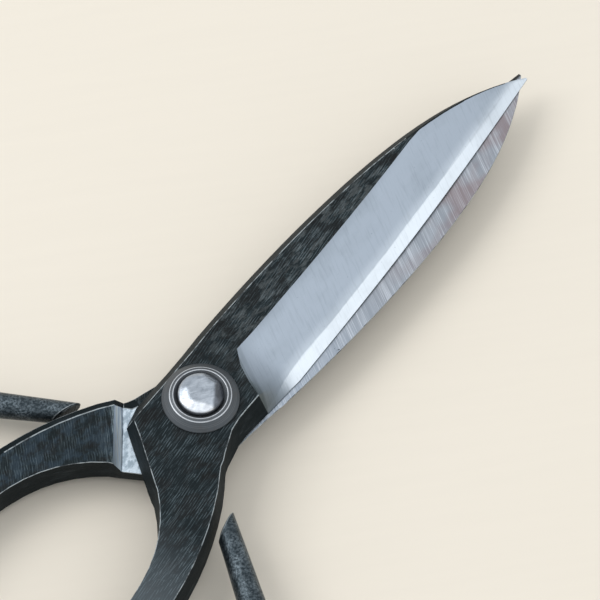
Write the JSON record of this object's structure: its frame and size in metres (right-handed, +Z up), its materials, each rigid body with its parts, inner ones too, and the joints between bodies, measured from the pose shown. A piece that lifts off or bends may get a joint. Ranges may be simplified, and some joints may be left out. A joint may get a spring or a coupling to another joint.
{
  "type": "large-loop garden shears",
  "caption": "Hand-forged all-steel garden shears with one-sided bevel blades, a riveted pivot between coned washers and large open finger loops.",
  "frame": {"origin": "centre of the flat back face of the rivet's back head, on the surface the shears lie on", "axes": "+X along the closed blades towards the tips, +Z up along the rivet, +Y to the left when looking at the tips"},
  "size_m": [0.2039, 0.1044, 0.0144],
  "materials": {
    "forged_iron": "black forge finish, worn bright along the edges; ground satin on the bevel",
    "edge_steel": "bright honed",
    "rivet_steel": "hammered and polished",
    "washer_steel": "matt grey, turned, with bright rims"
  },
  "bodies": {
    "lower": {"lower_half": "forged_iron", "lower_edge_steel": "edge_steel", "pivot_rivet": "rivet_steel", "back_washer": "washer_steel", "front_washer": "washer_steel"},
    "upper": {"upper_half": "forged_iron", "upper_edge_steel": "edge_steel"}
  },
  "joints": [
    {"name": "blade_pivot", "type": "hinge", "parent": "lower", "child": "upper", "pos_m": [0, 0, 0.0067], "axis": [0, 0, 1], "range_deg": [0, 65]}
  ]
}
